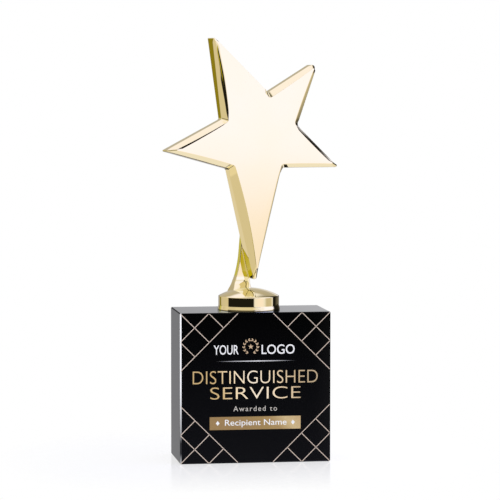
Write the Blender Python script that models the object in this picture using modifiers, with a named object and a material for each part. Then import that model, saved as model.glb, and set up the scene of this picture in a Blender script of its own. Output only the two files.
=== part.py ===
"""Star trophy: a faceted gold star on a curved stem and a domed foot, on a black crystal block.

Units are metres. +Z is up and the front of the block faces -Y. The origin is the centre of the
block's underside, the face that the trophy stands on. The star and its stem share one upright
plane, turned about Z by STAR_YAW; their corners are given in that plane as (across, height).
"""

import math

import bmesh
import bpy
from mathutils import Matrix, Vector

MM = 0.001
GAP = 0.3 * MM

# Crystal block: 3 x 3 x 1.5 inches.
BLOCK_WIDTH = 76.2 * MM
BLOCK_DEPTH = 38.1 * MM
BLOCK_HEIGHT = 75.7 * MM
BLOCK_CHAMFER = 0.5 * MM

# Blind bore in the block's top, with its glued brass insert and the stud that holds the foot.
BORE_RADIUS = 5.0 * MM
BORE_DEPTH = 15.3 * MM
STUD_RADIUS = 2.5 * MM
STUD_LENGTH = 19.6 * MM

# Domed foot.
FOOT_RADIUS = 15.5 * MM
FOOT_BOTTOM = BLOCK_HEIGHT + GAP
FOOT_LIP_HEIGHT = 2.2 * MM
FOOT_LIP_INSET = 0.9 * MM
FOOT_WALL_TOP = 82.6 * MM
FOOT_APEX = 86.85 * MM
FOOT_EDGE = 0.35 * MM
GASKET_RADIUS = 12.6 * MM
GASKET_THICKNESS = 0.5 * MM

# Star: corners of the outline, clockwise from the tall upper left arm.
STAR_YAW = math.radians(15.6)
STAR_FRONT = -6.0 * MM
STAR_THICKNESS = 8.5 * MM
BACK_BEVEL = 0.3 * MM
TIPS = {
    "upper_left": (-20.1, 213.2),
    "upper_right": (37.4, 200.9),
    "right": (50.4, 147.1),
    "leg": (3.0, 87.6),
    "left": (-45.6, 156.4),
}
VALLEYS = {
    "top": (10.0, 184.9),
    "upper_side": (26.6, 168.8),
    "leg_right": (18.4, 147.3),
    "leg_left": (-10.4, 147.7),
    "left_side": (-14.7, 171.9),
}
TIP_RADIUS = {"upper_left": 0.4, "upper_right": 1.4, "right": 0.4, "leg": 1.1, "left": 0.4}
VALLEY_RADIUS = 1.2
# Front bevel: how far the flat face stops short of each tip, its width along each edge, how much
# that edge bows inwards, and how deep the bevel's rear ridge lies at the tips and valleys.
TIP_SETBACK = {"upper_left": 1.6, "upper_right": 3.6, "right": 4.2, "leg": 7.6, "left": 4.5}
EDGE_BEVEL = [1.8, 2.2, 2.9, 1.9, 1.8, 2.0, 2.3, 2.6, 1.8, 1.9]
EDGE_BOW = [0.3, 0.2, 0.2, 0.3, 0.2, 0.3, 1.3, 0.3, 0.3, 0.8]
RIDGE_DEPTH_TIP = 1.0
RIDGE_DEPTH_VALLEY = 4.3
EDGE_STEPS = 6
CORNER_STEPS = 4

# Stem: left edge, right edge, front and back at each height, the last two measured behind the
# star's front face.
STEM_SECTIONS = [
    (83.9, -6.6, 3.6, 5.4, 13.6),
    (85.4, -6.1, 3.4, 6.0, 13.3),
    (87.5, -5.1, 3.2, 7.4, 12.9),
    (90.0, -4.3, 3.3, 8.6, 12.6),
    (94.0, -3.4, 3.8, 8.8, 12.3),
    (101.0, -2.6, 4.9, 8.8, 12.0),
    (110.0, -1.8, 6.2, 8.8, 11.8),
    (118.0, -1.2, 7.3, 8.8, 11.6),
    (126.0, -0.8, 8.0, 8.8, 11.5),
    (133.0, 0.0, 7.9, 8.8, 11.4),
    (135.5, 1.8, 6.4, 8.8, 11.3),
]
STEM_CORNER = 0.9
SCREW_HEIGHTS = {"lower": 115.0, "upper": 128.0}
SCREW_ACROSS = {"lower": 2.9, "upper": 3.7}
SCREW_RADIUS = 1.5 * MM
SCREW_HEAD_RADIUS = 2.7 * MM
SCREW_HEAD_HEIGHT = 1.7 * MM
SCREW_REACH = 4.4 * MM
SCREW_BORE_DEPTH = 5.0 * MM

GOLD = (1.0, 0.77, 0.34)


def clear_scene():
    for obj in list(bpy.data.objects):
        bpy.data.objects.remove(obj, do_unlink=True)


def make_collection(name):
    made = bpy.data.collections.new(name)
    bpy.context.scene.collection.children.link(made)
    return made


def make_material(name, color, roughness, metallic=0.0):
    material = bpy.data.materials.new(name)
    material.use_nodes = True
    shader = material.node_tree.nodes["Principled BSDF"]
    shader.inputs["Base Color"].default_value = (*color, 1.0)
    shader.inputs["Roughness"].default_value = roughness
    shader.inputs["Metallic"].default_value = metallic
    material.diffuse_color = (*color, 1.0)
    return material


def add_object(name, mesh, collection, material=None):
    obj = bpy.data.objects.new(name, mesh)
    collection.objects.link(obj)
    if material:
        mesh.materials.append(material)
    return obj


def mesh_from(bm, name):
    bmesh.ops.recalc_face_normals(bm, faces=bm.faces)
    mesh = bpy.data.meshes.new(name)
    bm.to_mesh(mesh)
    bm.free()
    return mesh


def shade_round(mesh, degrees=35):
    mesh.shade_smooth()
    mesh.set_sharp_from_angle(angle=math.radians(degrees))


def box(name, size, center, collection, material=None):
    bm = bmesh.new()
    bmesh.ops.create_cube(bm, size=1.0)
    bmesh.ops.scale(bm, vec=size, verts=bm.verts)
    obj = add_object(name, mesh_from(bm, name), collection, material)
    obj.location = center
    return obj


def cylinder(name, radius, height, center, collection, material=None, segments=48):
    bm = bmesh.new()
    bmesh.ops.create_cone(
        bm, cap_ends=True, segments=segments, radius1=radius, radius2=radius, depth=height
    )
    obj = add_object(name, mesh_from(bm, name), collection, material)
    obj.location = center
    shade_round(obj.data)
    return obj


def turned(name, profile, collection, material, steps=64):
    """A body turned about Z from (radius, height) points, running down the outer side."""
    mesh = bpy.data.meshes.new(name)
    points = [(radius, 0.0, height) for radius, height in profile]
    edges = [(i, i + 1) for i in range(len(points) - 1)]
    if profile[0][0] > 0.0:
        edges.append((len(points) - 1, 0))
    mesh.from_pydata(points, edges, [])
    obj = add_object(name, mesh, collection, material)
    screw = obj.modifiers.new("Turn", "SCREW")
    screw.angle = math.tau
    screw.steps = steps
    screw.render_steps = steps
    screw.use_merge_vertices = True
    screw.merge_threshold = 0.00001
    screw.use_smooth_shade = True
    return obj


def as_cutter(obj):
    obj.hide_render = True
    obj.display_type = "WIRE"
    return obj


def cut(obj, cutter):
    as_cutter(cutter)
    boolean = obj.modifiers.new("Cut " + cutter.name, "BOOLEAN")
    boolean.operation = "DIFFERENCE"
    boolean.solver = "EXACT"
    boolean.object = cutter


def rounded_corner(before, corner, after, radius, steps):
    """Points of an arc of this radius that rounds the corner, from one edge to the next."""
    to_before = (before - corner).normalized()
    to_after = (after - corner).normalized()
    half = to_before.angle(to_after) / 2
    middle = (to_before + to_after).normalized()
    center = corner + middle * (radius / math.sin(half))
    start = corner + to_before * (radius / math.tan(half)) - center
    end = corner + to_after * (radius / math.tan(half)) - center
    sweep = start.angle_signed(end)
    turns = [sweep * i / steps for i in range(steps + 1)]
    return [
        center
        + Vector(
            (
                start.x * math.cos(turn) + start.y * math.sin(turn),
                start.y * math.cos(turn) - start.x * math.sin(turn),
            )
        )
        for turn in turns
    ]


def star_ring(corners, radii, bows):
    """Outline points: a rounded arc at each corner, then the steps along the edge after it.

    An edge with a bow curves towards the star's centre by that much at its middle. Each point
    comes with its place along the outline, 0 at a corner and 1 at the next.
    """
    arcs = []
    count = len(corners)
    for i, corner in enumerate(corners):
        arcs.append(
            rounded_corner(
                corners[i - 1], corner, corners[(i + 1) % count], radii[i], CORNER_STEPS
            )
        )
    ring = []
    for i, arc in enumerate(arcs):
        ring += [(point, i, 0.0) for point in arc]
        start = arc[-1]
        end = arcs[(i + 1) % count][0]
        along = (end - start).normalized()
        inward = Vector((along.y, -along.x))
        for step in range(1, EDGE_STEPS):
            part = step / EDGE_STEPS
            bow = bows[i] * 4 * part * (1 - part)
            ring.append((start.lerp(end, part) + inward * bow, i, part))
    return ring


def line_crossing(a, along_a, b, along_b):
    share = (b - a).cross(along_b) / along_a.cross(along_b)
    return a + along_a * share


def star_corners():
    """Alternating tips and valleys of the outline, with the matching corners of the flat face."""
    tips = [Vector(point) for point in TIPS.values()]
    valleys = [Vector(point) for point in VALLEYS.values()]
    outline = [corner for pair in zip(tips, valleys) for corner in pair]
    setbacks = list(TIP_SETBACK.values())
    face = []
    for i, corner in enumerate(outline):
        before = outline[i - 1]
        after = outline[(i + 1) % len(outline)]
        if i % 2 == 0:
            middle = ((before - corner).normalized() + (after - corner).normalized()).normalized()
            face.append(corner + middle * setbacks[i // 2])
            continue
        along_before = (corner - before).normalized()
        along_after = (after - corner).normalized()
        inward_before = Vector((along_before.y, -along_before.x))
        inward_after = Vector((along_after.y, -along_after.x))
        face.append(
            line_crossing(
                corner + inward_before * EDGE_BEVEL[i - 1],
                along_before,
                corner + inward_after * EDGE_BEVEL[i],
                along_after,
            )
        )
    return outline, face


def ridge_depth(index, part):
    """Depth of the bevel's rear ridge: shallow at a tip, deep at a valley."""
    ends = (RIDGE_DEPTH_TIP, RIDGE_DEPTH_VALLEY)
    start = ends[index % 2]
    end = ends[(index + 1) % 2]
    return start + (end - start) * part


def star_mesh(name):
    """The star as a loft: flat face, ridge behind the front bevel, rear edge and back."""
    outline, face = star_corners()
    radii = []
    face_radii = []
    for tip_radius in TIP_RADIUS.values():
        radii += [tip_radius, VALLEY_RADIUS]
        face_radii += [min(tip_radius, 0.5), VALLEY_RADIUS]
    straight = [0.0] * len(outline)
    front = star_ring(face, face_radii, EDGE_BOW)
    side = star_ring(outline, radii, straight)
    bevel = BACK_BEVEL / MM
    thickness = STAR_THICKNESS / MM
    rows = [
        [(point, 0.0) for point, _, _ in front],
        [(point, ridge_depth(index, part)) for point, index, part in side],
        [(point, thickness - bevel) for point, _, _ in side],
    ]
    inner = []
    count = len(side)
    for i, (point, _, _) in enumerate(side):
        along = (side[(i + 1) % count][0] - side[i - 1][0]).normalized()
        inner.append((point + Vector((along.y, -along.x)) * bevel, thickness))
    rows.append(inner)
    bm = bmesh.new()
    rings = []
    for row in rows:
        rings.append([bm.verts.new((p.x * MM, depth * MM, p.y * MM)) for p, depth in row])
    for upper, lower in zip(rings, rings[1:]):
        for i in range(count):
            j = (i + 1) % count
            bm.faces.new((upper[i], upper[j], lower[j], lower[i]))
    caps = [bm.faces.new(rings[0]), bm.faces.new(rings[-1])]
    for cap in caps:
        cap.normal_update()
    bmesh.ops.triangulate(bm, faces=caps, ngon_method="EAR_CLIP")
    return mesh_from(bm, name)


def stem_section(height, left, right, front, back):
    """A rounded rectangle across the stem at this height."""
    corners = [(left, front), (right, front), (right, back), (left, back)]
    points = [Vector(corner) for corner in corners]
    ring = []
    for i, point in enumerate(points):
        ring += rounded_corner(points[i - 1], point, points[(i + 1) % 4], STEM_CORNER, 3)
    return [(p.x * MM, p.y * MM, height * MM) for p in ring]


def stem_mesh(name):
    bm = bmesh.new()
    rings = [[bm.verts.new(p) for p in stem_section(*section)] for section in STEM_SECTIONS]
    count = len(rings[0])
    for lower, upper in zip(rings, rings[1:]):
        for i in range(count):
            j = (i + 1) % count
            bm.faces.new((lower[i], lower[j], upper[j], upper[i]))
    bm.faces.new(rings[0])
    bm.faces.new(rings[-1])
    return mesh_from(bm, name)


def in_star_plane(obj, plane):
    obj.parent = plane
    return obj


def build_block(parts, cutters):
    crystal = make_material("black_crystal", (0.006, 0.006, 0.007), 0.03)
    size = (BLOCK_WIDTH, BLOCK_DEPTH, BLOCK_HEIGHT)
    block = box("crystal_block", size, (0, 0, BLOCK_HEIGHT / 2), parts, crystal)
    bevel = block.modifiers.new("Polished chamfer", "BEVEL")
    bevel.width = BLOCK_CHAMFER
    bevel.segments = 1
    bore_top = BLOCK_HEIGHT + 2 * MM
    bore_bottom = BLOCK_HEIGHT - BORE_DEPTH
    bore = cylinder(
        "stud_bore",
        BORE_RADIUS,
        bore_top - bore_bottom,
        (0, 0, (bore_top + bore_bottom) / 2),
        cutters,
    )
    cut(block, bore)


def build_fixing(parts):
    brass = make_material("brass", (0.72, 0.50, 0.18), 0.35, 1.0)
    steel = make_material("zinc_plated_steel", (0.62, 0.63, 0.65), 0.3, 1.0)
    felt = make_material("black_gasket", (0.02, 0.02, 0.02), 0.9)
    top = BLOCK_HEIGHT - 0.1 * MM
    bottom = BLOCK_HEIGHT - BORE_DEPTH + GAP
    outer = BORE_RADIUS - GAP
    inner = STUD_RADIUS + GAP
    edge = 0.4 * MM
    turned(
        "threaded_insert",
        [
            (inner, top),
            (outer - edge, top),
            (outer, top - edge),
            (outer, bottom + edge),
            (outer - edge, bottom),
            (inner, bottom),
        ],
        parts,
        brass,
        48,
    )
    base = bottom + 0.6 * MM
    tip = base + STUD_LENGTH
    turned(
        "mounting_stud",
        [
            (0.0, tip),
            (STUD_RADIUS - edge, tip),
            (STUD_RADIUS, tip - edge),
            (STUD_RADIUS, base + edge),
            (STUD_RADIUS - edge, base),
            (0.0, base),
        ],
        parts,
        steel,
        32,
    )
    low = FOOT_BOTTOM
    high = low + GASKET_THICKNESS
    turned(
        "foot_gasket",
        [(inner, high), (GASKET_RADIUS, high), (GASKET_RADIUS, low), (inner, low)],
        parts,
        felt,
        64,
    )


def dome_profile(radius, rim_height, apex):
    """Points from the apex down to the rim of a shallow spherical dome."""
    rise = apex - rim_height
    sphere = (radius * radius + rise * rise) / (2 * rise)
    reach = math.asin(radius / sphere)
    steps = 12
    return [
        (
            sphere * math.sin(reach * i / steps),
            apex - sphere * (1 - math.cos(reach * i / steps)),
        )
        for i in range(steps + 1)
    ]


def build_foot(parts, cutters, plane, gold):
    """The foot: a spherical dome over a short wall, with an undercut lip and a gasket recess."""
    wall_bottom = FOOT_BOTTOM + FOOT_LIP_HEIGHT
    lip = FOOT_RADIUS - FOOT_LIP_INSET
    recess = GASKET_RADIUS + GAP
    recess_top = FOOT_BOTTOM + GASKET_THICKNESS + GAP
    profile = dome_profile(FOOT_RADIUS - FOOT_EDGE, FOOT_WALL_TOP + FOOT_EDGE, FOOT_APEX)
    profile += [
        (FOOT_RADIUS, FOOT_WALL_TOP),
        (FOOT_RADIUS, wall_bottom),
        (FOOT_RADIUS - 0.25 * MM, wall_bottom - 0.9 * MM),
        (lip, FOOT_BOTTOM),
        (recess, FOOT_BOTTOM),
        (recess, recess_top),
        (0.0, recess_top),
    ]
    foot = turned("domed_foot", profile, parts, gold, 96)
    bore_top = BLOCK_HEIGHT + 6.0 * MM
    bore_bottom = BLOCK_HEIGHT - 2.0 * MM
    stud_hole = cylinder(
        "foot_stud_hole",
        STUD_RADIUS + GAP,
        bore_top - bore_bottom,
        (0, 0, (bore_top + bore_bottom) / 2),
        cutters,
    )
    cut(foot, stud_hole)
    height, left, right, front, back = STEM_SECTIONS[0]
    floor = height * MM - GAP
    roof = FOOT_APEX + 3 * MM
    socket = box(
        "stem_socket",
        ((right - left) * MM + 2 * GAP, (back - front) * MM + 2 * GAP, roof - floor),
        ((left + right) / 2 * MM, (front + back) / 2 * MM, (roof + floor) / 2),
        cutters,
    )
    rounding = socket.modifiers.new("Socket corners", "BEVEL")
    rounding.width = (STEM_CORNER + 0.3) * MM
    rounding.segments = 3
    rounding.limit_method = "WEIGHT"
    weights = socket.data.attributes.new("bevel_weight_edge", "FLOAT", "EDGE")
    for edge in socket.data.edges:
        ends = [socket.data.vertices[i].co for i in edge.vertices]
        upright = abs(ends[0].x - ends[1].x) < 1e-6 and abs(ends[0].y - ends[1].y) < 1e-6
        weights.data[edge.index].value = 1.0 if upright else 0.0
    in_star_plane(socket, plane)
    cut(foot, socket)


def build_star(parts, cutters, plane, gold):
    star = in_star_plane(add_object("star_body", star_mesh("star_body"), parts, gold), plane)
    stem = in_star_plane(add_object("curved_stem", stem_mesh("curved_stem"), parts, gold), plane)
    shade_round(stem.data)
    steel = bpy.data.materials["zinc_plated_steel"]
    stem_back = max(back for height, _, _, _, back in STEM_SECTIONS if height > 110.0) * MM
    bore_floor = STAR_THICKNESS - SCREW_BORE_DEPTH
    lying = Matrix.Rotation(math.radians(90), 4, "X")
    for place, height in SCREW_HEIGHTS.items():
        across = SCREW_ACROSS[place] * MM
        bore_length = 20 * MM
        bore = cylinder(
            place + "_screw_hole",
            SCREW_RADIUS + GAP,
            bore_length,
            (0, 0, 0),
            cutters,
            None,
            32,
        )
        bore.matrix_local = (
            Matrix.Translation((across, bore_floor + bore_length / 2, height * MM)) @ lying
        )
        in_star_plane(bore, plane)
        cut(star, bore)
        cut(stem, bore)
        head_base = stem_back + GAP
        shank_tip = STAR_THICKNESS - SCREW_REACH
        length = head_base - shank_tip
        edge = 0.3 * MM
        screw = turned(
            "star_screw_" + place,
            [
                (0.0, length),
                (SCREW_RADIUS - edge, length),
                (SCREW_RADIUS, length - edge),
                (SCREW_RADIUS, 0.0),
                (SCREW_HEAD_RADIUS, 0.0),
                (SCREW_HEAD_RADIUS, -SCREW_HEAD_HEIGHT * 0.5),
                (SCREW_HEAD_RADIUS * 0.86, -SCREW_HEAD_HEIGHT * 0.85),
                (SCREW_HEAD_RADIUS * 0.62, -SCREW_HEAD_HEIGHT),
                (0.0, -SCREW_HEAD_HEIGHT),
            ],
            parts,
            steel,
            32,
        )
        placed = Matrix.Translation((across, head_base, height * MM)) @ lying
        screw.matrix_local = placed
        in_star_plane(screw, plane)
        drive = cylinder(
            place + "_screw_drive",
            1.15 * MM,
            2.0 * MM,
            (0, 0, 0),
            cutters,
            None,
            6,
        )
        drive.matrix_local = placed @ Matrix.Translation((0, 0, -SCREW_HEAD_HEIGHT))
        in_star_plane(drive, plane)
        cut(screw, drive)


def main():
    clear_scene()
    parts = make_collection("star_trophy")
    cutters = make_collection("cutters")
    gold = make_material("polished_gold", GOLD, 0.04, 1.0)
    plane = bpy.data.objects.new("star_plane", None)
    parts.objects.link(plane)
    plane.location = (0.0, STAR_FRONT, 0.0)
    plane.rotation_euler = (0.0, 0.0, STAR_YAW)
    build_block(parts, cutters)
    build_fixing(parts)
    build_foot(parts, cutters, plane, gold)
    build_star(parts, cutters, plane, gold)


main()
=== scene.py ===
"""Star trophy: a mirror-gold star on a stem and a domed foot, on a printed black crystal block."""

import math

import bmesh
import bpy
from mathutils import Matrix, Vector


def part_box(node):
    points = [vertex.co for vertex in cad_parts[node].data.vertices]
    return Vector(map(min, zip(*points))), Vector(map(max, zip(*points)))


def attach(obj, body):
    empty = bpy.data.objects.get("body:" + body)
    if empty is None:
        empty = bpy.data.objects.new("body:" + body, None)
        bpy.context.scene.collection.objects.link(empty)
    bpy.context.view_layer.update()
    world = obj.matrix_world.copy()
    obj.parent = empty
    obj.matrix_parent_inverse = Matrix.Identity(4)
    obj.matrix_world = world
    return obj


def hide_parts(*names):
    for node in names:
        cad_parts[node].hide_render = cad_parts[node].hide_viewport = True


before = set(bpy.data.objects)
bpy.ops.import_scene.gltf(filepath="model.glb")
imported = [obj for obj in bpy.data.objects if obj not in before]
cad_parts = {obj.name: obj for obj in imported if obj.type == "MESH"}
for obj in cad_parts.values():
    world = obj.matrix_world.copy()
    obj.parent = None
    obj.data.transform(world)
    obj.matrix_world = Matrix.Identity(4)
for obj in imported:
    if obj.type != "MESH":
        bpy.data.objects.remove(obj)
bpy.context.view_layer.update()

MM = 0.001
BODY = "root"

BLOCK_WIDTH = 76.2 * MM
BLOCK_DEPTH = 38.1 * MM
BLOCK_HEIGHT = 75.7 * MM

# ---------------------------------------------------------------- camera and view

# The camera stands in front of the trophy, a little to the left, and looks slightly down. Its
# azimuth is counted from the front, and its lens and sensor are in millimetres.
CAMERA_DISTANCE = 1331.6 * MM
CAMERA_AZIMUTH = math.radians(-8.429)
CAMERA_HEIGHT = 194.95 * MM
CAMERA_PITCH = math.radians(-3.833)
CAMERA_ROLL = math.radians(-0.017)
CAMERA_SENSOR = 36.0
CAMERA_LENS = 189.9504


def make_camera():
    data = bpy.data.cameras.new("camera")
    data.lens = CAMERA_LENS
    data.sensor_width = CAMERA_SENSOR
    data.clip_start = 0.05
    data.clip_end = 50.0
    camera = bpy.data.objects.new("camera", data)
    bpy.context.scene.collection.objects.link(camera)
    camera.location = (
        CAMERA_DISTANCE * math.sin(CAMERA_AZIMUTH),
        -CAMERA_DISTANCE * math.cos(CAMERA_AZIMUTH),
        CAMERA_HEIGHT,
    )
    camera.rotation_mode = "XYZ"
    turn = Matrix.Rotation(CAMERA_AZIMUTH, 4, "Z")
    tilt = Matrix.Rotation(math.radians(90) + CAMERA_PITCH, 4, "X")
    roll = Matrix.Rotation(-CAMERA_ROLL, 4, "Z")
    camera.rotation_euler = (turn @ tilt @ roll).to_euler("XYZ")
    bpy.context.scene.camera = camera


# ---------------------------------------------------------------- node helpers

# The sockets for colours on a Mix node, whose names repeat for each type of data.
MIX_FIRST = 6
MIX_SECOND = 7
MIX_RESULT = 2

# The range that nearly all of a noise texture's values fall in.
NOISE_LOW = 0.3
NOISE_HIGH = 0.7


class Nodes:
    """Short calls for building a node tree."""

    def __init__(self, tree):
        self.tree = tree
        tree.nodes.clear()

    def add(self, kind, **settings):
        node = self.tree.nodes.new(kind)
        for key, value in settings.items():
            if key[0].isupper():
                node.inputs[key.replace("_", " ")].default_value = value
            else:
                setattr(node, key, value)
        return node

    def link(self, source, target):
        self.tree.links.new(source, target)

    def value(self, operation, *operands):
        """A math node. Each operand is a number or a socket."""
        node = self.add("ShaderNodeMath", operation=operation)
        for socket, item in zip(node.inputs, operands):
            if isinstance(item, (int, float)):
                socket.default_value = item
            else:
                self.link(item, socket)
        return node.outputs[0]

    def ramp(self, factor, stops):
        """Colours, or grey levels, at places along a factor."""
        node = self.add("ShaderNodeValToRGB")
        elements = node.color_ramp.elements
        while len(elements) > 1:
            elements.remove(elements[-1])
        for i, (place, color) in enumerate(stops):
            element = elements[0] if i == 0 else elements.new(place)
            element.position = place
            if isinstance(color, (int, float)):
                color = (color, color, color)
            element.color = (*color, 1.0)
        self.link(factor, node.inputs["Fac"])
        return node.outputs["Color"]

    def mix(self, factor, first, second, blend_type="MIX"):
        """Blends two colours. The factor and the colours are values or sockets."""
        node = self.add("ShaderNodeMix", data_type="RGBA", blend_type=blend_type)
        for key, item in (("Factor", factor), (MIX_FIRST, first), (MIX_SECOND, second)):
            if isinstance(item, bpy.types.NodeSocket):
                self.link(item, node.inputs[key])
            else:
                node.inputs[key].default_value = item
        return node.outputs[MIX_RESULT]

    def map_range(self, factor, start, end, low, high, **settings):
        """Turns a factor that runs from start to end into one that runs from low to high."""
        node = self.add(
            "ShaderNodeMapRange",
            From_Min=start,
            From_Max=end,
            To_Min=low,
            To_Max=high,
            **settings,
        )
        self.link(factor, node.inputs["Value"])
        return node.outputs["Result"]


def new_material(name):
    material = bpy.data.materials.new(name)
    material.use_nodes = True
    nodes = Nodes(material.node_tree)
    output = nodes.add("ShaderNodeOutputMaterial")
    shader = nodes.add("ShaderNodeBsdfPrincipled")
    nodes.link(shader.outputs["BSDF"], output.inputs["Surface"])
    return material, nodes, shader


def object_place(nodes):
    """The X, Y and Z of the shaded point, in the object's own frame."""
    parts = nodes.add("ShaderNodeSeparateXYZ")
    nodes.link(nodes.add("ShaderNodeTexCoord").outputs["Object"], parts.inputs["Vector"])
    return parts.outputs


def noise(nodes, scale, detail=3.0):
    place = nodes.add("ShaderNodeTexCoord").outputs["Object"]
    node = nodes.add("ShaderNodeTexNoise", Scale=scale, Detail=detail, Roughness=0.5)
    nodes.link(place, node.inputs["Vector"])
    return node.outputs["Fac"]


def vary(nodes, factor, low, high):
    """A number that wanders between low and high with a noise."""
    return nodes.map_range(factor, NOISE_LOW, NOISE_HIGH, low, high)


def blend(nodes, factor, low, high):
    """A colour, or a grey level, that wanders between low and high with a noise."""
    return nodes.ramp(factor, [(NOISE_LOW, low), (NOISE_HIGH, high)])


def bump(nodes, shader, height, strength, distance):
    node = nodes.add("ShaderNodeBump", Strength=strength, Distance=distance)
    nodes.link(height, node.inputs["Height"])
    nodes.link(node.outputs["Normal"], shader.inputs["Normal"])


# ---------------------------------------------------------------- materials

GOLD_TONES = (1.0, 0.793, 0.355), (1.0, 0.803, 0.375)
# A pale gold that the plate shows only where it is seen in a reflection: a painted reflection tone,
# not the gold's own colour.
PAINTED_PALE_GOLD_REFLECTION = (0.97, 0.93, 0.70, 1.0)

# The polished bevel down the block's front left edge: its size, and the painted highlight along it,
# a pale colour in place of the light it catches, from the block's base (0) to its top (1).
BEVEL_WIDTH = 0.8 * MM
BEVEL_DEPTH = 0.45 * MM
PAINTED_BEVEL_HIGHLIGHT = [
    (0.0, 0.5),
    (0.03, 0.3),
    (0.07, 0.03),
    (0.14, 0.03),
    (0.22, 0.4),
    (0.5, 0.95),
    (1.0, 1.0),
]


def gold_material():
    """Mirror-bright gold plate, painted a paler gold wherever it is seen in a reflection: a painted
    reflection tone, so its reflections of itself deepen less than real gold's.
    """
    material, nodes, shader = new_material("mirror_gold_plate")
    tone = blend(nodes, noise(nodes, scale=45.0), *GOLD_TONES)
    bounces = nodes.add("ShaderNodeLightPath").outputs["Ray Depth"]
    # Rays that have already bounced see the paler gold: painted reflection, not the plate's colour.
    color = nodes.mix(nodes.value("GREATER_THAN", bounces, 0.5), tone, PAINTED_PALE_GOLD_REFLECTION)
    nodes.link(color, shader.inputs["Base Color"])
    shader.inputs["Metallic"].default_value = 1.0
    rough = vary(nodes, noise(nodes, scale=180.0, detail=5.0), 0.012, 0.04)
    nodes.link(rough, shader.inputs["Roughness"])
    return material


def crystal_material():
    """Black crystal, a little paler towards its base, with a painted highlight down its front left
    bevel.
    """
    material, nodes, shader = new_material("black_optical_crystal")
    place = object_place(nodes)
    height = nodes.value("MULTIPLY", place["Z"], 1.0 / BLOCK_HEIGHT)
    clouds = nodes.value("MULTIPLY_ADD", noise(nodes, scale=30.0), 0.1, height)
    tone = nodes.ramp(clouds, [(0.0, 0.0070), (0.35, 0.0046), (1.0, 0.0011)])
    at_left = nodes.value("LESS_THAN", place["X"], BEVEL_WIDTH - BLOCK_WIDTH / 2)
    at_front = nodes.value("LESS_THAN", place["Y"], BEVEL_DEPTH - BLOCK_DEPTH / 2)
    painted_highlight_mask = nodes.value("MULTIPLY", at_left, at_front)
    # The front left bevel gets a pale colour that changes with height: a painted highlight, not the
    # crystal's own colour.
    color = nodes.mix(painted_highlight_mask, tone, nodes.ramp(height, PAINTED_BEVEL_HIGHLIGHT))
    nodes.link(color, shader.inputs["Base Color"])
    shader.inputs["Specular Tint"].default_value = (1.0, 0.9, 0.6, 1.0)
    rough = vary(nodes, noise(nodes, scale=260.0, detail=5.0), 0.01, 0.04)
    nodes.link(rough, shader.inputs["Roughness"])
    shader.inputs["IOR"].default_value = 1.5
    return material


def ink_material(name, stops, rough, slant=0.0):
    """Printed ink with a fine grain. Its tone runs across the block and slants with height."""
    material, nodes, shader = new_material(name)
    place = object_place(nodes)
    upward = nodes.value("MULTIPLY_ADD", place["Z"], slant / BLOCK_HEIGHT, 0.5 - slant * 0.5)
    across = nodes.value("MULTIPLY_ADD", place["X"], 1.0 / BLOCK_WIDTH, upward)
    grain = noise(nodes, scale=2600.0, detail=2.0)
    tone = nodes.mix(1.0, nodes.ramp(across, stops), blend(nodes, grain, 0.86, 1.0), "MULTIPLY")
    nodes.link(tone, shader.inputs["Base Color"])
    nodes.link(vary(nodes, noise(nodes, scale=900.0), *rough), shader.inputs["Roughness"])
    bump(nodes, shader, grain, strength=0.15, distance=0.02 * MM)
    return material


def turned_metal(name, low, high, rough):
    material, nodes, shader = new_material(name)
    tone = blend(nodes, noise(nodes, scale=400.0), low, high)
    nodes.link(tone, shader.inputs["Base Color"])
    shader.inputs["Metallic"].default_value = 1.0
    grain = noise(nodes, scale=1500.0, detail=4.0)
    nodes.link(vary(nodes, grain, *rough), shader.inputs["Roughness"])
    bump(nodes, shader, grain, strength=0.1, distance=0.03 * MM)
    return material


def gasket_material():
    material, nodes, shader = new_material("foam_rubber")
    grain = noise(nodes, scale=1800.0)
    nodes.link(blend(nodes, grain, 0.012, 0.03), shader.inputs["Base Color"])
    nodes.link(vary(nodes, grain, 0.75, 0.95), shader.inputs["Roughness"])
    bump(nodes, shader, grain, strength=0.5, distance=0.1 * MM)
    return material


# ---------------------------------------------------------------- mesh helpers


def add_piece(name, mesh, material, replaces=None):
    obj = bpy.data.objects.new(name, mesh)
    bpy.context.scene.collection.objects.link(obj)
    mesh.materials.clear()
    mesh.materials.append(material)
    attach(obj, BODY)
    if replaces:
        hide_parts(replaces)
    return obj


def finish_mesh(bm, name, angle=30.0):
    bmesh.ops.recalc_face_normals(bm, faces=bm.faces)
    mesh = bpy.data.meshes.new(name)
    bm.to_mesh(mesh)
    bm.free()
    mesh.shade_smooth()
    mesh.set_sharp_from_angle(angle=math.radians(angle))
    return mesh


def loft(bm, rings):
    """A closed skin through rings of points, with a flat cap on each end."""
    made = [[bm.verts.new(p) for p in ring] for ring in rings]
    count = len(made[0])
    for upper, lower in zip(made, made[1:]):
        for i in range(count):
            j = (i + 1) % count
            bm.faces.new((upper[i], upper[j], lower[j], lower[i]))
    caps = [bm.faces.new(made[0]), bm.faces.new(made[-1])]
    for cap in caps:
        cap.normal_update()
    bmesh.ops.triangulate(bm, faces=caps, ngon_method="EAR_CLIP")


def polished_piece(bm, name, angle, gold, node):
    """A gold piece whose flat faces stay flat: edges above this angle in degrees stay sharp."""
    piece = add_piece(name, finish_mesh(bm, name, angle), gold, node)
    normals = piece.modifiers.new("Weighted normals", "WEIGHTED_NORMAL")
    normals.mode = "FACE_AREA"
    normals.weight = 100
    normals.keep_sharp = True


# ---------------------------------------------------------------- star

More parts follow.
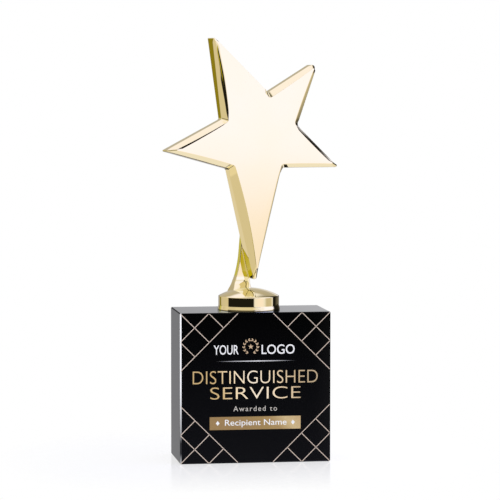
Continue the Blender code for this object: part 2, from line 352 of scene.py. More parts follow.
# The star lies in an upright plane of its own, turned on the foot. Sizes here are in millimetres,
# across and up in that plane, and depths run back from the flat face. The corners go clockwise
# from the tall arm's tip, each tip followed by the valley after it. Lists by side start with the
# side that leaves the tall arm's tip.
STAR_YAW = math.radians(15.6)
STAR_FRONT = -6.0 * MM
STAR_THICKNESS = 8.5
BACK_BEVEL = 0.3
TIPS = [(-20.7, 213.2), (37.4, 200.9), (49.8, 147.2), (3.0, 87.6), (-46.0, 156.3)]
VALLEYS = [(10.0, 184.9), (26.6, 168.8), (18.4, 147.3), (-11.1, 146.9), (-14.7, 171.9)]
TIP_RADIUS = [0.4, 1.4, 0.7, 1.1, 0.5]
FACE_TIP_RADIUS = 0.5
VALLEY_RADIUS = [1.2, 2.2, 1.2, 1.4, 1.2]

# How far the flat face stops short of each tip, the bevel's width on each side, how far the
# face's edge bows inwards there, and how deep the bevel's rear ridge lies at either end of it.
TIP_SETBACK = [0.4, 3.6, 4.2, 7.6, 4.5]
EDGE_BEVEL = [1.8, 2.2, 2.9, 1.5, 1.8, 2.0, 2.3, 2.3, 1.8, 1.9]
EDGE_BOW = [0.0, 0.2, 0.2, 0.3, 0.2, 0.3, 1.3, 0.3, 0.3, 0.8]
RIDGE_DEPTH = [
    (0.03, 0.6),
    (4.2, 4.4),
    (1.0, 2.6),
    (3.5, 3.4),
    (1.1, 1.3),
    (4.3, 4.0),
    (2.2, 4.3),
    (1.5, 1.2),
    (3.4, 4.2),
    (4.3, 2.1),
]

# How round the edge between face and bevel is at either end of each side, and how round the
# bevel's rear ridge and the back's edge are.
FACE_EDGE_ROUND = [
    (0.1, 0.1),
    (0.08, 0.08),
    (0.3, 0.3),
    (1.4, 1.1),
    (0.3, 0.3),
    (0.6, 0.6),
    (0.4, 0.15),
    (0.25, 0.3),
    (1.1, 0.15),
    (1.0, 2.4),
]
CORNER_ROUND = 0.25
RIDGE_ROUND = [0.05, 0.35, 0.35, 0.25, 0.5, 0.35, 0.35, 0.5, 0.35, 0.35]
BACK_ROUND = 0.25

# Sides whose face edge is a narrow polished facet instead, round only at the corners: its tilt
# in degrees, and its width at either end of the side. A hairline turn runs along its edges.
FACE_EDGE_FACET = {3: (45, 0.7, 0.6), 8: (9, 1.0, 0.3)}
HAIRLINE = 0.03

# One over the share of a side, at each end, in which a measure changes to suit the corner.
RIDGE_FADE = 24
FACET_FADE = 12
ROUND_FADE = 10

# A point this far into the flat face sets the direction in which its rounded edge starts.
FACE_REACH = 6

FACE_ROUND_STEPS = 6
ROUND_STEPS = 3
EDGE_STEPS = 24
CORNER_STEPS = 8


def star_plane():
    return Matrix.Translation((0, STAR_FRONT, 0)) @ Matrix.Rotation(STAR_YAW, 4, "Z")


def rounded_corner(before, corner, after, radius, steps):
    to_before = (before - corner).normalized()
    to_after = (after - corner).normalized()
    half = to_before.angle(to_after) / 2
    middle = (to_before + to_after).normalized()
    center = corner + middle * (radius / math.sin(half))
    start = corner + to_before * (radius / math.tan(half)) - center
    end = corner + to_after * (radius / math.tan(half)) - center
    sweep = start.angle_signed(end)
    points = []
    for i in range(steps + 1):
        turn = sweep * i / steps
        points.append(
            center
            + Vector(
                (
                    start.x * math.cos(turn) + start.y * math.sin(turn),
                    start.y * math.cos(turn) - start.x * math.sin(turn),
                )
            )
        )
    return points


def star_ring(corners, radii, bows):
    count = len(corners)
    arcs = [
        rounded_corner(corners[i - 1], corners[i], corners[(i + 1) % count], radii[i], CORNER_STEPS)
        for i in range(count)
    ]
    ring = []
    for i, arc in enumerate(arcs):
        ring += [(point, i, 0.0) for point in arc]
        start = arc[-1]
        end = arcs[(i + 1) % count][0]
        along = (end - start).normalized()
        inward = Vector((along.y, -along.x))
        for step in range(1, EDGE_STEPS):
            part = step / EDGE_STEPS
            bow = bows[i] * 4 * part * (1 - part)
            ring.append((start.lerp(end, part) + inward * bow, i, part))
    return ring


def line_crossing(a, along_a, b, along_b):
    return a + along_a * ((b - a).cross(along_b) / along_a.cross(along_b))


def star_corners():
    tips = [Vector(point) for point in TIPS]
    valleys = [Vector(point) for point in VALLEYS]
    outline = [corner for pair in zip(tips, valleys) for corner in pair]
    face = []
    for i, corner in enumerate(outline):
        before = outline[i - 1]
        after = outline[(i + 1) % len(outline)]
        if i % 2 == 0:
            middle = ((before - corner).normalized() + (after - corner).normalized()).normalized()
            face.append(corner + middle * TIP_SETBACK[i // 2])
            continue
        along_before = (corner - before).normalized()
        along_after = (after - corner).normalized()
        face.append(
            line_crossing(
                corner + Vector((along_before.y, -along_before.x)) * EDGE_BEVEL[i - 1],
                along_before,
                corner + Vector((along_after.y, -along_after.x)) * EDGE_BEVEL[i],
                along_after,
            )
        )
    return outline, face


def ridge_depth(index, part):
    """How far behind the face the ridge runs, meeting its neighbour halfway at each corner."""
    start, end = RIDGE_DEPTH[index]
    before = RIDGE_DEPTH[index - 1][1]
    after = RIDGE_DEPTH[(index + 1) % len(RIDGE_DEPTH)][0]
    start += ((before + start) / 2 - start) * max(0.0, 1 - part * RIDGE_FADE)
    end += ((after + end) / 2 - end) * max(0.0, 1 - (1 - part) * RIDGE_FADE)
    return start + (end - start) * part


def faceted_turn(face_point, to_middle, ridge, tilt, width):
    """A flat facet between the face and the bevel, with a hairline turn on either side of it."""
    start = face_point + to_middle * width
    corner = face_point + Vector((0.0, width * math.tan(math.radians(tilt)), 0.0))
    along = (corner - start).normalized() * min(HAIRLINE, width * 0.2)
    down = (ridge - corner).normalized() * HAIRLINE
    return [start, start + along, corner - along, corner] + [corner + down * i for i in (1, 2, 3)]


def rounded_turn(before, corner, after, reach, steps):
    """Points of a smooth turn at a corner of a cross-section, starting and ending reach away."""
    start = corner + (before - corner).normalized() * min(reach, (before - corner).length * 0.45)
    end = corner + (after - corner).normalized() * min(reach, (after - corner).length * 0.45)
    points = []
    for i in range(steps + 1):
        t = i / steps
        points.append(start * (1 - t) ** 2 + corner * (2 * t * (1 - t)) + end * t**2)
    return points


def edge_round(index, part):
    """The face edge's roundness: full along the middle of a side, less towards its corners."""
    start, end = FACE_EDGE_ROUND[index]
    if part == 0.0:
        return min(start, FACE_EDGE_ROUND[index - 1][1], CORNER_ROUND)
    here = start + (end - start) * part
    low = min(here, CORNER_ROUND)
    return low + (here - low) * min(1.0, ROUND_FADE * part, ROUND_FADE * (1 - part))


def star_section(outer, inner, inward, index, part):
    """The star's section at one place: from the flat face over the bevel and side to the back."""
    to_middle = Vector((inward.x, 0.0, inward.y))
    face_point = Vector((inner.x, 0.0, inner.y))
    ridge = Vector((outer.x, ridge_depth(index, part), outer.y))
    rear = Vector((outer.x, STAR_THICKNESS - BACK_BEVEL, outer.y))
    back = Vector((outer.x, STAR_THICKNESS, outer.y)) + to_middle * BACK_BEVEL
    if index in FACE_EDGE_FACET and part > 0.0:
        tilt, start, end = FACE_EDGE_FACET[index]
        width = start + (end - start) * part
        width *= min(1.0, FACET_FADE * (1 - part), FACET_FADE * part)
        section = faceted_turn(face_point, to_middle, ridge, tilt, width)
    else:
        on_face = face_point + to_middle * FACE_REACH
        reach = edge_round(index, part)
        section = rounded_turn(on_face, face_point, ridge, reach, FACE_ROUND_STEPS)
    section += rounded_turn(face_point, ridge, rear, RIDGE_ROUND[index], ROUND_STEPS)
    section += rounded_turn(ridge, rear, back, BACK_ROUND, ROUND_STEPS)
    return section + [back]


def star_piece(gold):
    outline, face = star_corners()
    radii = []
    face_radii = []
    for tip_radius, valley_radius in zip(TIP_RADIUS, VALLEY_RADIUS):
        radii += [tip_radius, valley_radius]
        face_radii += [min(tip_radius, FACE_TIP_RADIUS), valley_radius]
    front = star_ring(face, face_radii, EDGE_BOW)
    side = star_ring(outline, radii, [0.0] * len(outline))
    sections = []
    for i, (outer, index, part) in enumerate(side):
        along = (side[(i + 1) % len(side)][0] - side[i - 1][0]).normalized()
        inward = Vector((along.y, -along.x))
        sections.append(star_section(outer, front[i][0], inward, index, part))
    bm = bmesh.new()
    loft(bm, [[point * MM for point in ring] for ring in zip(*sections)])
    bmesh.ops.transform(bm, matrix=star_plane(), verts=bm.verts)
    polished_piece(bm, "star_polished", 60, gold, "star_body")


# ---------------------------------------------------------------- stem

# Height, left, right, front and back of the stem, in the star's plane and in millimetres. Its
# front stops just behind the star's back.
STEM_SECTIONS = [
    (83.9, -7.9, 3.2, 5.4, 13.6),
    (85.4, -7.4, 3.0, 6.0, 13.3),
    (87.5, -6.3, 2.8, 7.4, 12.9),
    (90.0, -5.3, 2.9, 8.6, 12.6),
    (94.0, -4.0, 3.6, 8.8, 12.3),
    (101.0, -2.6, 4.9, 8.8, 12.0),
    (110.0, -1.8, 6.2, 8.8, 11.8),
    (118.0, -1.2, 7.3, 8.8, 11.6),
    (126.0, -0.8, 8.0, 8.8, 11.5),
    (133.0, 0.0, 7.9, 8.8, 11.4),
    (135.5, 1.8, 6.4, 8.8, 11.3),
]
STEM_FRONT = 8.8
STEM_CORNER = 0.3
STEM_CORNER_STEPS = 5
STEM_STEPS = 5


def smooth_between(rows, steps):
    """Catmull-Rom interpolation of rows of numbers."""
    made = []
    last = len(rows) - 1
    for i in range(last):
        a, b, c, d = rows[max(i - 1, 0)], rows[i], rows[i + 1], rows[min(i + 2, last)]
        for step in range(steps):
            t = step / steps
            made.append(
                tuple(
                    0.5
                    * (
                        2 * q
                        + (r - p) * t
                        + (2 * p - 5 * q + 4 * r - s) * t * t
                        + (3 * q - p - 3 * r + s) * t**3
                    )
                    for p, q, r, s in zip(a, b, c, d)
                )
            )
    made.append(rows[-1])
    return made


def stem_piece(gold):
    rings = []
    for height, left, right, front, back in smooth_between(STEM_SECTIONS, STEM_STEPS):
        front = min(front, STEM_FRONT)
        points = [Vector(p) for p in ((left, front), (right, front), (right, back), (left, back))]
        ring = []
        for i, point in enumerate(points):
            after = points[(i + 1) % 4]
            arc = rounded_corner(points[i - 1], point, after, STEM_CORNER, STEM_CORNER_STEPS)
            ring += [(p.x * MM, p.y * MM, height * MM) for p in arc]
        rings.append(ring)
    bm = bmesh.new()
    loft(bm, rings)
    bmesh.ops.transform(bm, matrix=star_plane(), verts=bm.verts)
    polished_piece(bm, "stem_polished", 50, gold, "curved_stem")


# ---------------------------------------------------------------- foot

# The turned foot, in millimetres: a spherical dome on an upright wall, over a wider lip that
# stands on the block, hollowed out below for the gasket.
FOOT_CENTER = -0.67
DOME_TOP = 86.7
DOME_STEPS = 28
WALL_RADIUS = 15.38
WALL_TOP = 82.6
WALL_EDGE = 0.45
WALL_BOTTOM = 77.98
LIP_RADIUS = 15.75
LIP_TOP = 76.38
LIP_BOTTOM = 75.78
RECESS_RADIUS = 12.9
RECESS_TOP = 76.8
FOOT_SEGMENTS = 256

# How far each rounding reaches from its corner and its steps, from the dome's edge down to the
# lip's lower edge.
FOOT_ROUNDS = [(0.2, 3), (0.25, 4), (0.12, 4), (0.2, 4), (0.05, 2)]


def foot_profile():
    """Radius and height of the foot from the top of its dome round to the recess below."""
    rim = WALL_RADIUS - WALL_EDGE
    rise = DOME_TOP - (WALL_TOP + WALL_EDGE * 0.8)
    sphere = (rim * rim + rise * rise) / (2 * rise)
    reach = math.asin(rim / sphere)
    dome = []
    for i in range(DOME_STEPS + 1):
        turn = reach * i / DOME_STEPS
        dome.append((sphere * math.sin(turn), DOME_TOP - sphere * (1 - math.cos(turn))))
    path = [
        dome[-2],
        dome[-1],
        (WALL_RADIUS, WALL_TOP),
        (WALL_RADIUS, WALL_BOTTOM),
        (LIP_RADIUS, LIP_TOP),
        (LIP_RADIUS, LIP_BOTTOM),
        (RECESS_RADIUS, LIP_BOTTOM),
    ]
    profile = dome[:-1]
    for before, corner, after, (size, steps) in zip(path, path[1:], path[2:], FOOT_ROUNDS):
        corners = (Vector(point) for point in (before, corner, after))
        profile += [tuple(point) for point in rounded_turn(*corners, size, steps)]
    return profile + [(RECESS_RADIUS, LIP_BOTTOM), (RECESS_RADIUS, RECESS_TOP), (0.0, RECESS_TOP)]


def foot_piece(gold):
    bm = bmesh.new()
    rings = []
    for radius, height in foot_profile():
        count = FOOT_SEGMENTS if radius else 1
        ring = []
        for i in range(count):
            turn = math.tau * i / count
            x = (FOOT_CENTER + radius * math.cos(turn)) * MM
            ring.append(bm.verts.new((x, radius * MM * math.sin(turn), height * MM)))
        rings.append(ring)
    for upper, lower in zip(rings, rings[1:]):
        for i in range(FOOT_SEGMENTS):
            j = (i + 1) % FOOT_SEGMENTS
            if len(upper) == 1:
                bm.faces.new((upper[0], lower[i], lower[j]))
            elif len(lower) == 1:
                bm.faces.new((upper[i], upper[j], lower[0]))
            else:
                bm.faces.new((upper[i], upper[j], lower[j], lower[i]))
    polished_piece(bm, "foot_polished", 60, gold, "domed_foot")


# ---------------------------------------------------------------- printing on the block

# Places and sizes in this section are fractions of the front face's width and height, from its
# top left. Only the print's thickness and the width of its lines are lengths.
PRINT_HEIGHT = 0.03 * MM
LATTICE_SIZE = 0.388
LATTICE_RIM = 0.005
LATTICE_LINE = 0.36 * MM
MERGE_DISTANCE = 0.0001 * MM

# The emblem: how far in the star's inner corners lie, the leaves' size for a wreath of radius 1,
# and their angles in degrees.
STAR_POINTS = 5
STAR_WAIST = 0.42
LEAF_PAIRS = 6
LEAF_LENGTH = 0.42
LEAF_WIDTH = 0.085
FIRST_LEAF = 68
LEAF_STEP = 27
LEAF_SPREAD = 28


def front_face():
    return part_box("crystal_block")


def on_face(x, y):
    """Fractions of the front face's width and height, from its top left, as a point in space."""
    low, high = front_face()
    width = high[0] - low[0]
    height = high[2] - low[2]
    return Vector((low[0] + x * width, low[1], high[2] - y * height))


def strip(bm, a, b, width):
    """A flat raised line on the front face between two points given in face fractions."""
    start = on_face(*a)
    end = on_face(*b)
    along = (end - start).normalized()
    side = Vector((along.z, 0, -along.x)) * (width / 2)
    lift = Vector((0, -PRINT_HEIGHT, 0))
    base = [start + side, end + side, end - side, start - side]
    low = [bm.verts.new(p) for p in base]
    high = [bm.verts.new(p + lift) for p in base]
    bm.faces.new(low)
    bm.faces.new(high)
    for i in range(4):
        j = (i + 1) % 4
        bm.faces.new((low[i], low[j], high[j], high[i]))


def lattice_piece(ink):
    """Fine lines across each corner of the front face, the same in all four."""
    size = LATTICE_SIZE
    rim = LATTICE_RIM
    lines = [
        ((size - rim, rim), (rim, size - rim)),
        ((size / 2 - rim, rim), (rim, size / 2 - rim)),
        ((rim, rim), (size / 2, size / 2)),
        ((size / 2, rim), (size * 3 / 4 - rim / 2, size / 4 + rim / 2)),
        ((rim, size / 2), (size / 4 + rim / 2, size * 3 / 4 - rim / 2)),
    ]
    bm = bmesh.new()
    for flip_x in (False, True):
        for flip_y in (False, True):
            for line in lines:
                points = [(1 - x if flip_x else x, 1 - y if flip_y else y) for x, y in line]
                strip(bm, points[0], points[1], LATTICE_LINE)
    add_piece("print_lattice", finish_mesh(bm, "print_lattice"), ink)


def text_piece(name, words, center, size, ink, spacing=1.0, thin=0.0, lift=1.0):
    """Words printed on the front face, fitted to a width and a height."""
    curve = bpy.data.curves.new(name, "FONT")
    curve.body = words
    curve.align_x = "CENTER"
    curve.align_y = "CENTER"
    curve.space_character = spacing
    curve.size = 1.0
    curve.offset = thin
    curve.extrude = 0.01
    curve.resolution_u = 6
    text = bpy.data.objects.new(name, curve)
    bpy.context.scene.collection.objects.link(text)
    bpy.context.view_layer.update()
    graph = bpy.context.evaluated_depsgraph_get()
    mesh = bpy.data.meshes.new_from_object(text.evaluated_get(graph))
    bpy.data.objects.remove(text, do_unlink=True)
    xs = [v.co.x for v in mesh.vertices]
    ys = [v.co.y for v in mesh.vertices]
    left, right, bottom, top = min(xs), max(xs), min(ys), max(ys)
    low, high = front_face()
    scale_x = size[0] * (high[0] - low[0]) / (right - left)
    scale_y = size[1] * (high[2] - low[2]) / (top - bottom)
    middle = on_face(*center)
    for vertex in mesh.vertices:
        x = (vertex.co.x - (right + left) / 2) * scale_x
        z = (vertex.co.y - (top + bottom) / 2) * scale_y
        y = -PRINT_HEIGHT * lift if vertex.co.z > 0 else -PRINT_HEIGHT * (lift - 1.0)
        vertex.co = (middle.x + x, middle.y + y, middle.z + z)
    bm = bmesh.new()
    bm.from_mesh(mesh)
    bmesh.ops.remove_doubles(bm, verts=bm.verts, dist=MERGE_DISTANCE)
    add_piece(name, finish_mesh(bm, name), ink)


def outline_piece(name, outlines, ink, lift=1.0):
    """Flat printed shapes from closed outlines in face fractions."""
    bm = bmesh.new()
    for outline in outlines:
        base = [on_face(x, y) for x, y in outline]
        low = [bm.verts.new(p) for p in base]
        high = [bm.verts.new(p + Vector((0, -PRINT_HEIGHT * lift, 0))) for p in base]
        faces = [bm.faces.new(low), bm.faces.new(high)]
        count = len(base)
        for i in range(count):
            j = (i + 1) % count
            bm.faces.new((low[i], low[j], high[j], high[i]))
        for face in faces:
            face.normal_update()
        bmesh.ops.triangulate(bm, faces=faces, ngon_method="EAR_CLIP")
    add_piece(name, finish_mesh(bm, name), ink)


def diamond(x, y, size):
    return [(x, y - size), (x + size * 0.8, y), (x, y + size), (x - size * 0.8, y)]


def star_outline(x, y, radius):
    made = []
    for i in range(STAR_POINTS * 2):
        reach = radius if i % 2 == 0 else radius * STAR_WAIST
        angle = math.pi * i / STAR_POINTS
        made.append((x + reach * math.sin(angle), y - reach * math.cos(angle)))
    return made


def leaf(x, y, angle, length, width):
    """A pointed laurel leaf growing from a point in this direction."""
    made = []
    steps = 8
    for side in (1, -1):
        for i in range(steps):
            t = i / steps if side == 1 else 1 - i / steps
            half = width * math.sin(math.pi * t) * side
            made.append(
                (
                    x + length * t * math.cos(angle) - half * math.sin(angle),
                    y + length * t * math.sin(angle) + half * math.cos(angle),
                )
            )
    return made


def laurel_outlines(x, y, radius):
    """A plain laurel wreath round a small star."""
    length = radius * LEAF_LENGTH
    width = radius * LEAF_WIDTH
    shapes = [star_outline(x, y, length)]
    for side in (1, -1):
        for i in range(LEAF_PAIRS):
            turn = math.radians(FIRST_LEAF - LEAF_STEP * i)
            px = x + side * radius * math.cos(turn)
            py = y + radius * math.sin(turn)
            for spread in (-LEAF_SPREAD, LEAF_SPREAD):
                angle = turn + math.radians(spread - 90)
                direction = angle if side == 1 else math.pi - angle
                shapes.append(leaf(px, py, direction, length, width))
    return shapes


def make_inks():
    return {
        "line": ink_material(
            "champagne_gold_line",
            [(0.0, (0.70, 0.57, 0.46)), (1.0, (0.66, 0.53, 0.42))],
            rough=(0.35, 0.5),
        ),
        "title": ink_material(
            "gradient_gold_ink",
            [
                (0.02, (0.60, 0.41, 0.17)),
                (0.26, (0.66, 0.45, 0.18)),
                (0.36, (0.98, 0.76, 0.44)),
                (0.50, (0.98, 0.84, 0.62)),
                (0.66, (0.90, 0.69, 0.42)),
                (0.80, (0.58, 0.42, 0.22)),
                (1.0, (0.50, 0.38, 0.22)),
            ],
            rough=(0.3, 0.45),
            slant=0.35,
        ),
        "band": ink_material(
            "name_band_gold",
            [
                (0.20, (0.34, 0.205, 0.065)),
                (0.34, (0.37, 0.23, 0.065)),
                (0.42, (0.42, 0.26, 0.085)),
                (0.52, (0.64, 0.47, 0.22)),
                (0.60, (0.58, 0.40, 0.18)),
                (0.70, (0.56, 0.37, 0.15)),
                (0.80, (0.42, 0.26, 0.08)),
            ],
            rough=(0.3, 0.45),
            slant=0.9,
        ),
        "white": ink_material(
            "white_ink",
            [(0.0, (0.92, 0.92, 0.90)), (1.0, (0.90, 0.90, 0.88))],
            rough=(0.4, 0.55),
        ),
        "grey": ink_material(
            "warm_grey_ink",
            [(0.0, (0.60, 0.56, 0.49)), (1.0, (0.58, 0.54, 0.47))],
            rough=(0.4, 0.55),
        ),
        "rule": ink_material(
            "fading_rule_ink",
            [(0.24, 0.08), (0.36, 0.42), (0.52, 0.75), (0.66, 0.42), (0.76, 0.06)],
            rough=(0.4, 0.55),
        ),
        "emblem": ink_material(
            "emblem_gold_ink",
            [(0.40, (0.52, 0.36, 0.20)), (0.54, (0.66, 0.48, 0.30))],
            rough=(0.35, 0.5),
        ),
    }


def rule_outline():
    """A rule with pointed ends."""
    upper = [(0.36, 0.3190), (0.502, 0.3180), (0.644, 0.3190)]
    lower = [(0.644, 0.3240), (0.502, 0.3250), (0.36, 0.3240)]
    return [(0.236, 0.3215), *upper, (0.768, 0.3215), *lower]


def build_print():
    ink = make_inks()
    lattice_piece(ink["line"])
    text_piece("print_word_left", "YOUR", (0.305, 0.245), (0.165, 0.063), ink["white"], thin=0.006)
    text_piece("print_word_right", "LOGO", (0.65, 0.245), (0.22, 0.063), ink["white"], thin=0.006)
    outline_piece("print_emblem", laurel_outlines(0.4685, 0.226, 0.045), ink["emblem"])
    outline_piece("print_rule", [rule_outline()], ink["rule"])
    for name, words, center, size in (
        ("print_title_upper", "DISTINGUISHED", (0.4995, 0.4275), (0.83, 0.086)),
        ("print_title_lower", "SERVICE", (0.50, 0.533), (0.60, 0.08)),
    ):
        text_piece(name, words, center, size, ink["title"], spacing=1.02, thin=-0.012)
    text_piece(
        "print_awarded_to", "Awarded to", (0.498, 0.637), (0.29, 0.034), ink["grey"], spacing=1.25
    )
    band = [(0.196, 0.69), (0.80, 0.69), (0.80, 0.776), (0.196, 0.776)]
    outline_piece("print_name_band", [band], ink["band"])
    text_piece(
        "print_name",
        "Recipient Name",
        (0.502, 0.735),
        (0.41, 0.052),
        ink["white"],
        thin=0.004,
        lift=2.0,
    )
    diamonds = [diamond(x, 0.732, 0.016) for x in (0.249, 0.749)]
    outline_piece("print_diamonds", diamonds, ink["white"], lift=2.0)


# ---------------------------------------------------------------- studio

FLOOR_RADIUS = 300 * MM
FLOOR_DROP = 0.1 * MM
FLOOR_FADE = 90 * MM
FLOOR_GLOW = (1.0, 0.993, 0.965, 1.0)


def make_floor():
    """A pale glossy table that keeps a faint reflection close to the block and fades to white."""
    bm = bmesh.new()
    bmesh.ops.create_circle(bm, cap_ends=True, segments=128, radius=FLOOR_RADIUS)
    floor = bpy.data.objects.new("floor", finish_mesh(bm, "floor"))
    bpy.context.scene.collection.objects.link(floor)
    floor.location.z = -FLOOR_DROP
    material, nodes, shader = new_material("studio_table")
    tone = blend(nodes, noise(nodes, scale=8.0), 0.20, 0.21)
    nodes.link(tone, shader.inputs["Base Color"])
    rough = vary(nodes, noise(nodes, scale=300.0), 0.12, 0.14)
    nodes.link(rough, shader.inputs["Roughness"])
    shader.inputs["IOR"].default_value = 1.2
    shader.inputs["Emission Color"].default_value = FLOOR_GLOW
    shader.inputs["Emission Strength"].default_value = 0.66
    place = object_place(nodes)
    beyond = nodes.add("ShaderNodeCombineXYZ")
    for axis, half in (("X", BLOCK_WIDTH / 2), ("Y", BLOCK_DEPTH / 2)):
        past = nodes.value("SUBTRACT", nodes.value("ABSOLUTE", place[axis]), half)
        nodes.link(nodes.value("MAXIMUM", past, 0.0), beyond.inputs[axis])
    reach = nodes.add("ShaderNodeVectorMath", operation="LENGTH")
    nodes.link(beyond.outputs["Vector"], reach.inputs[0])
    fade = nodes.map_range(reach.outputs["Value"], 0.0, FLOOR_FADE, 1.0, 0.0)
    camera = nodes.add("ShaderNodeLightPath").outputs["Is Camera Ray"]
    nodes.link(nodes.value("MULTIPLY", fade, camera), shader.inputs["Alpha"])
    floor.data.materials.append(material)


DARK = (0.012, 0.012, 0.012)
OLIVE = (0.25, 0.23, 0.02)
AMBER = (0.50, 0.485, 0.01)
TAN = (0.52, 0.55, 0.18)
WHITE = (1.05, 1.19, 2.36)
CREAM = (1.0, 1.08, 1.80)
PALE = (0.87, 0.94, 1.36)
GLOW = (0.97, 0.98, 1.42)


def grey(level):
    return (level, level, level * 1.04)


# The studio round the trophy as rings of panels, from the table up to the ceiling. Each row is
# an azimuth in degrees, counted from the front (0) to the trophy's right (90), and the colour of
# the panel there. Colours fade into one another between rows.
NADIR = [(-180, DARK), (180, DARK)]
DEEP = [
    (-180, DARK),
    (-150, DARK),
    (-130, grey(0.8)),
    (-60, grey(0.8)),
    (0, PALE),
    (146, PALE),
    (156, DARK),
    (180, DARK),
]
LOW = [
    (-180, grey(0.12)),
    (-162, grey(0.12)),
    (-154, grey(0.80)),
    (-140, grey(0.70)),
    (-40, grey(0.66)),
    (0, PALE),
    (60, PALE),
    (100, grey(0.7)),
    (118, grey(0.45)),
    (130, grey(0.10)),
    (180, grey(0.12)),
]
BELOW = [
    (-180, grey(0.12)),
    (-172, grey(0.12)),
    (-168, PALE),
    (-156, grey(0.80)),
    (-140, grey(0.70)),
    (-76, grey(0.66)),
    (-70, DARK),
    (-34, DARK),
    (-26, AMBER),
    (8, AMBER),
    (16, CREAM),
    (60, PALE),
    (100, grey(0.7)),
    (118, grey(0.45)),
    (130, grey(0.10)),
    (144, grey(0.10)),
    (156, PALE),
    (170, PALE),
    (173, grey(0.12)),
    (180, grey(0.12)),
]
TABLE_EDGE = [
    (-180, grey(0.355)),
    (-166, grey(0.36)),
    (-157, grey(0.6)),
    (-154, grey(0.25)),
    (-150, grey(0.25)),
    (-147, OLIVE),
    (-139, OLIVE),
    (-136, grey(0.62)),
    (-94, grey(0.66)),
    (-90, DARK),
    (10, DARK),
    (14, PALE),
    (30, GLOW),
    (46, GLOW),
    (54, PALE),
    (64, grey(0.58)),
    (88, grey(0.60)),
    (91, PALE),
    (95, PALE),
    (97, DARK),
    (112, DARK),
    (120, grey(0.08)),
    (150, grey(0.2)),
    (164, grey(0.5)),
    (180, grey(0.42)),
]
EYE_LEVEL = [
    (-180, grey(0.1)),
    (-173, grey(0.1)),
    (-169, grey(0.6)),
    (-157, grey(0.4)),
    (-154, grey(0.12)),
    (-150, grey(0.12)),
    (-148, TAN),
    (-136, TAN),
    (-133, grey(0.70)),
    (-94, grey(0.76)),
    (-90, DARK),
    (12, DARK),
    (18, WHITE),
    (56, WHITE),
    (62, CREAM),
    (92, PALE),
    (97, DARK),
    (130, DARK),
    (163, grey(0.1)),
    (167, grey(0.82)),
    (170, grey(0.72)),
    (173.4, grey(0.56)),
    (177, grey(0.5)),
    (180, grey(0.1)),
]
GAP = [
    (-180, grey(0.5)),
    (-150, grey(0.45)),
    (-96, grey(0.76)),
    (-88, grey(0.66)),
    (8, grey(0.66)),
    (14, DARK),
    (36.5, DARK),
    (38, PALE),
    (60, WHITE),
    (96, WHITE),
    (104, DARK),
    (146, DARK),
    (154, PALE),
    (166, grey(0.7)),
    (180, grey(0.5)),
]
OVERHEAD_SIDES = [
    (-180, grey(0.5)),
    (-150, grey(0.5)),
    (-100, grey(0.8)),
    (-60, grey(0.72)),
    (8, grey(0.72)),
    (20, PALE),
    (56, WHITE),
    (96, WHITE),
    (104, DARK),
    (146, DARK),
    (154, grey(0.45)),
    (166, grey(0.5)),
    (174, grey(0.55)),
    (180, grey(0.5)),
]
CEILING = [
    (-180, CREAM),
    (-60, CREAM),
    (60, CREAM),
    (118, PALE),
    (130, grey(0.2)),
    (150, grey(0.2)),
    (160, PALE),
    (180, CREAM),
]
ZENITH = [(-180, DARK), (180, DARK)]

# Each ring above the lowest, with the heights on a unit sphere between which it takes over from
# the one below.
RINGS = [
    (DEEP, -0.985, -0.97),
    (LOW, -0.50, -0.42),
    (BELOW, -0.27, -0.24),
    (TABLE_EDGE, -0.190, -0.178),
    (EYE_LEVEL, -0.075, -0.02),
    (GAP, 0.155, 0.165),
    (OVERHEAD_SIDES, 0.30, 0.32),
    (CEILING, 0.62, 0.74),
    (ZENITH, 0.97, 0.985),
]

# Panels are brighter than a ramp's colours can be, so the ramps hold a share of their colour.
PANEL_STRENGTH = 2.5
FILL_STRENGTH = 1.35


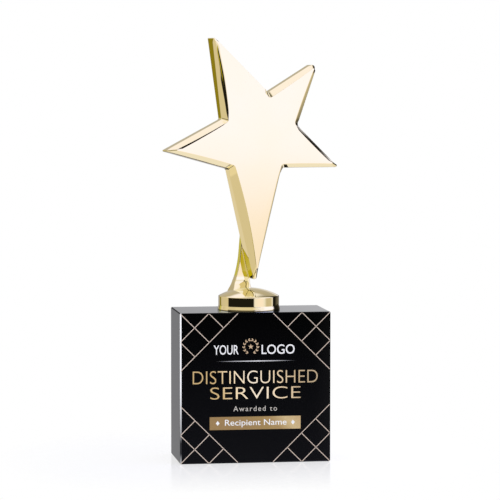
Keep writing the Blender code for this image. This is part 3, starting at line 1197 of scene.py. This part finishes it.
def make_world():
    """The camera sees a white backdrop, matt surfaces a soft fill, and polished ones the panels."""
    world = bpy.data.worlds.new("studio")
    bpy.context.scene.world = world
    world.use_nodes = True
    nodes = Nodes(world.node_tree)
    direction = nodes.add("ShaderNodeTexCoord").outputs["Generated"]
    parts = nodes.add("ShaderNodeSeparateXYZ")
    nodes.link(direction, parts.inputs["Vector"])
    x, y, z = (parts.outputs[k] for k in "XYZ")
    azimuth = nodes.value("ARCTAN2", x, nodes.value("MULTIPLY", y, -1.0))
    turn = nodes.value("MULTIPLY_ADD", azimuth, 1 / math.tau, 0.5)

    def ring(rows):
        stops = []
        for angle, color in rows:
            stops.append((angle / 360 + 0.5, tuple(c / PANEL_STRENGTH for c in color)))
        return nodes.ramp(turn, stops)

    color = ring(NADIR)
    for rows, low, high in RINGS:
        share = nodes.map_range(z, low, high, 0.0, 1.0, interpolation_type="SMOOTHSTEP")
        color = nodes.mix(share, color, ring(rows))
    panels = nodes.add("ShaderNodeBackground", Strength=PANEL_STRENGTH)
    nodes.link(color, panels.inputs["Color"])
    backdrop = nodes.add("ShaderNodeBackground", Color=(1.0, 1.0, 1.0, 1.0), Strength=1.0)
    fill = nodes.add("ShaderNodeBackground", Strength=FILL_STRENGTH)
    height = nodes.value("MULTIPLY_ADD", z, 0.5, 0.5)
    nodes.link(nodes.ramp(height, [(0.0, 0.5), (0.5, 0.8), (1.0, 1.0)]), fill.inputs["Color"])
    ray = nodes.add("ShaderNodeLightPath")

    def choose(factor, without, with_it):
        pick = nodes.add("ShaderNodeMixShader")
        nodes.link(ray.outputs[factor], pick.inputs["Fac"])
        nodes.link(without, pick.inputs[1])
        nodes.link(with_it, pick.inputs[2])
        return pick.outputs["Shader"]

    shader = choose("Is Diffuse Ray", panels.outputs["Background"], fill.outputs["Background"])
    shader = choose("Is Camera Ray", shader, backdrop.outputs["Background"])
    output = nodes.add("ShaderNodeOutputWorld")
    nodes.link(shader, output.inputs["Surface"])


def set_view():
    view = bpy.context.scene.view_settings
    view.view_transform = "Standard"
    view.look = "None"
    view.exposure = 0.0
    view.gamma = 1.0


def dress_cad_nodes():
    looks = {
        "crystal_block": crystal_material(),
        "threaded_insert": turned_metal(
            "machined_brass", (0.66, 0.45, 0.16), (0.76, 0.54, 0.22), (0.25, 0.4)
        ),
        "mounting_stud": turned_metal(
            "zinc_plate", (0.55, 0.56, 0.58), (0.68, 0.69, 0.70), (0.22, 0.36)
        ),
        "foot_gasket": gasket_material(),
    }
    looks["star_screw_lower"] = looks["mounting_stud"]
    looks["star_screw_upper"] = looks["mounting_stud"]
    for node, material in looks.items():
        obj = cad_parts[node]
        obj.data.materials.clear()
        obj.data.materials.append(material)


make_camera()
make_world()
set_view()
make_floor()
GOLD = gold_material()
star_piece(GOLD)
stem_piece(GOLD)
foot_piece(GOLD)
build_print()
dress_cad_nodes()
